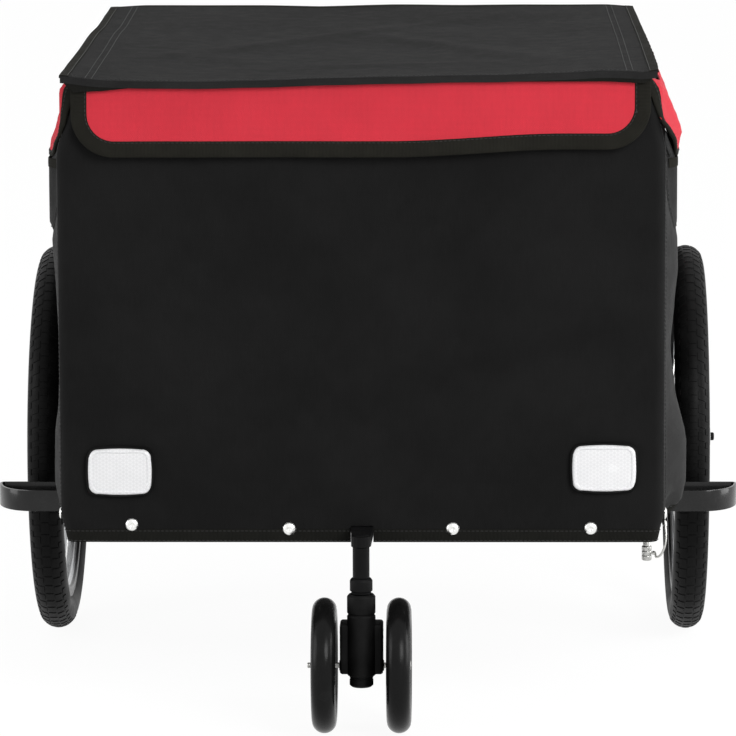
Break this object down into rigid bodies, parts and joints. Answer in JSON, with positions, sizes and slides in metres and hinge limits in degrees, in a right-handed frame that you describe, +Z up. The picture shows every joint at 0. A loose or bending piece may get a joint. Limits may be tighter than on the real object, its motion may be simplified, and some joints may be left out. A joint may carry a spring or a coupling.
{
  "type": "child bike trailer",
  "caption": "Boxy fabric trailer on two spoked wheels, with an opening roof, wheel guards, reflectors and a swivelling twin caster under the nose.",
  "frame": {"origin": "on the ground, under the middle of the trailer's overall box", "axes": "+Z up; the front, with the caster, faces -Y; the trailer's left side is at +X"},
  "size_m": [0.74, 0.841, 0.622],
  "materials": {
    "frame_paint": "satin black powder coat",
    "guard_gloss": "gloss black",
    "black_plastic": "moulded black",
    "tyre_rubber": "black tyre rubber",
    "caster_rubber": "smooth black rubber",
    "rim_metal": "satin silver",
    "bright_steel": "bright plated steel",
    "zinc_plate": "zinc plated",
    "snap_metal": "nickel plated",
    "board": "black board",
    "black_cloth": "coated woven polyester",
    "roof_cloth": "coated woven polyester",
    "red_cloth": "coated woven polyester",
    "white_lens": "prismatic reflector",
    "red_lens": "prismatic reflector"
  },
  "bodies": {
    "chassis": {"base_front_tube": "frame_paint", "base_rear_tube": "frame_paint", "left_base_rail": "frame_paint", "right_base_rail": "frame_paint", "axle_beam": "frame_paint", "floor_board": "board", "left_side_hoop": "frame_paint", "right_side_hoop": "frame_paint", "front_roof_bar": "frame_paint", "rear_roof_bar": "frame_paint", "left_axle_boss": "frame_paint", "right_axle_boss": "frame_paint", "left_wheel_guard": "guard_gloss", "right_wheel_guard": "guard_gloss", "front_panel": "black_cloth", "rear_panel": "black_cloth", "left_side_panel": "black_cloth", "right_side_panel": "black_cloth", "left_side_pocket": "black_cloth", "right_side_pocket": "black_cloth", "rear_valance": "red_cloth", "front_left_reflector": "white_lens", "front_right_reflector": "white_lens", "rear_left_reflector": "red_lens", "rear_right_reflector": "red_lens", "front_snap_1": "snap_metal", "front_snap_2": "snap_metal", "front_snap_3": "snap_metal", "front_snap_4": "snap_metal", "left_side_snap": "snap_metal", "right_side_snap": "snap_metal", "left_axle": "bright_steel", "right_axle": "bright_steel", "caster_arm": "frame_paint", "caster_stem": "frame_paint", "caster_collar": "frame_paint", "caster_cap": "frame_paint", "pin_tether": "zinc_plate"},
    "lid": {"roof_panel": "roof_cloth", "front_valance": "red_cloth", "left_valance": "red_cloth", "right_valance": "red_cloth"},
    "left_wheel": {"left_tyre": "tyre_rubber", "left_rim": "rim_metal", "left_hub_and_spokes": "bright_steel"},
    "right_wheel": {"right_tyre": "tyre_rubber", "right_rim": "rim_metal", "right_hub_and_spokes": "bright_steel"},
    "left_button": {"left_axle_button": "black_plastic"},
    "right_button": {"right_axle_button": "black_plastic"},
    "caster_fork": {"caster_housing": "black_plastic", "caster_axle_bolt": "bright_steel", "caster_axle_nut": "bright_steel"},
    "left_caster_wheel": {"left_caster_tyre": "caster_rubber", "left_caster_hub": "black_plastic"},
    "right_caster_wheel": {"right_caster_tyre": "caster_rubber", "right_caster_hub": "black_plastic"},
    "lock_pin": {"lock_pin": "zinc_plate"}
  },
  "joints": [
    {"name": "left_wheel_spin", "type": "hinge", "parent": "chassis", "child": "left_wheel", "pos_m": [0.3275, 0.149, 0.2], "axis": [1, 0, 0], "continuous": true},
    {"name": "right_wheel_spin", "type": "hinge", "parent": "chassis", "child": "right_wheel", "pos_m": [-0.3275, 0.149, 0.2], "axis": [1, 0, 0], "continuous": true},
    {"name": "caster_swivel", "type": "hinge", "parent": "chassis", "child": "caster_fork", "pos_m": [0, -0.368, 0.1], "axis": [0, 0, 1], "continuous": true},
    {"name": "left_caster_spin", "type": "hinge", "parent": "caster_fork", "child": "left_caster_wheel", "pos_m": [0.0355, -0.356, 0.0645], "axis": [1, 0, 0], "continuous": true},
    {"name": "right_caster_spin", "type": "hinge", "parent": "caster_fork", "child": "right_caster_wheel", "pos_m": [-0.0355, -0.356, 0.0645], "axis": [1, 0, 0], "continuous": true},
    {"name": "lid_hinge", "type": "hinge", "parent": "chassis", "child": "lid", "pos_m": [0, 0.412, 0.619], "axis": [-1, 0, 0], "range_deg": [0, 110]},
    {"name": "lock_pin_slide", "type": "slide", "parent": "chassis", "child": "lock_pin", "axis": [0, 0, -1], "range_m": [0, 0.03], "deforming": ["pin_tether"]},
    {"name": "left_button_press", "type": "slide", "parent": "chassis", "child": "left_button", "axis": [-1, 0, 0], "range_m": [0, 0.003], "stiffness_N_per_m": 400, "springref_m": -0.002},
    {"name": "right_button_press", "type": "slide", "parent": "chassis", "child": "right_button", "axis": [1, 0, 0], "range_m": [0, 0.003], "stiffness_N_per_m": 400, "springref_m": -0.002}
  ]
}
